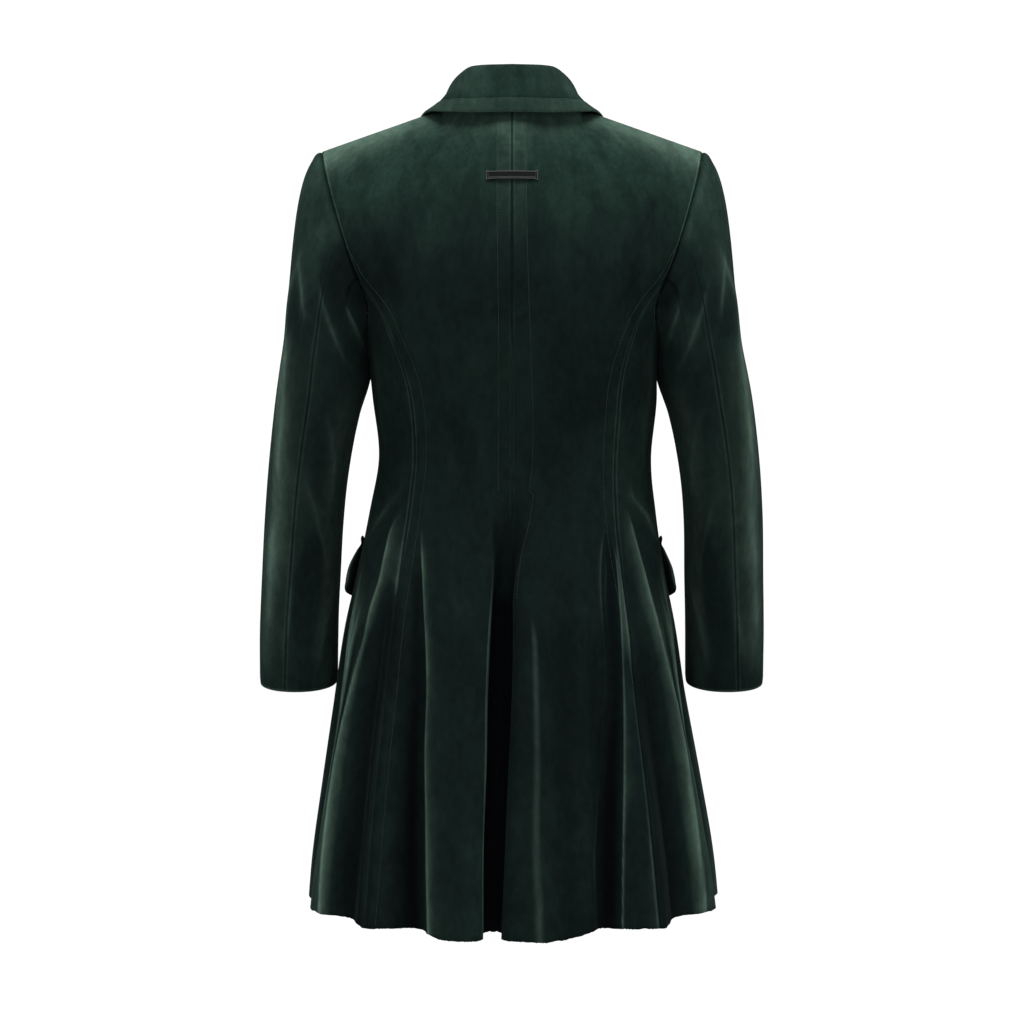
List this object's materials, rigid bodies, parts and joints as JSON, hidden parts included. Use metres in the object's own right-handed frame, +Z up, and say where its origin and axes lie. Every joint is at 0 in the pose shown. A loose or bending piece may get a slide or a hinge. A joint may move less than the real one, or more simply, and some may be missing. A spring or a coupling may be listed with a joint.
{
  "type": "velvet coat",
  "caption": "Hollow fitted coat of dark green velvet, flared below the waist, with a centre back pleat, seamed sleeves, a turned-down collar, lapels and hip pocket flaps",
  "frame": {"origin": "the middle between the shoulders, level with the points where the shoulder seams meet the neck", "axes": "+Z up, the front faces -Y, the wearer's left side is +X"},
  "size_m": [0.536, 0.3494, 0.8877],
  "materials": {
    "velvet": "dark bottle green cotton velvet, soft pile that lightens along folds and edges",
    "leather": "smooth dark grey strip",
    "horn": "dark polished horn look"
  },
  "bodies": {
    "root": {"back_left": "velvet", "back_right": "velvet", "side_left": "velvet", "side_right": "velvet", "front_left": "velvet", "front_right": "velvet", "lapel_left": "velvet", "lapel_right": "velvet", "collar": "velvet", "sleeve_upper_left": "velvet", "sleeve_upper_right": "velvet", "sleeve_under_left": "velvet", "sleeve_under_right": "velvet", "pocket_flap_left": "velvet", "pocket_flap_right": "velvet", "hanging_loop": "leather", "button_1": "horn", "button_2": "horn", "button_3": "horn"}
  },
  "joints": []
}
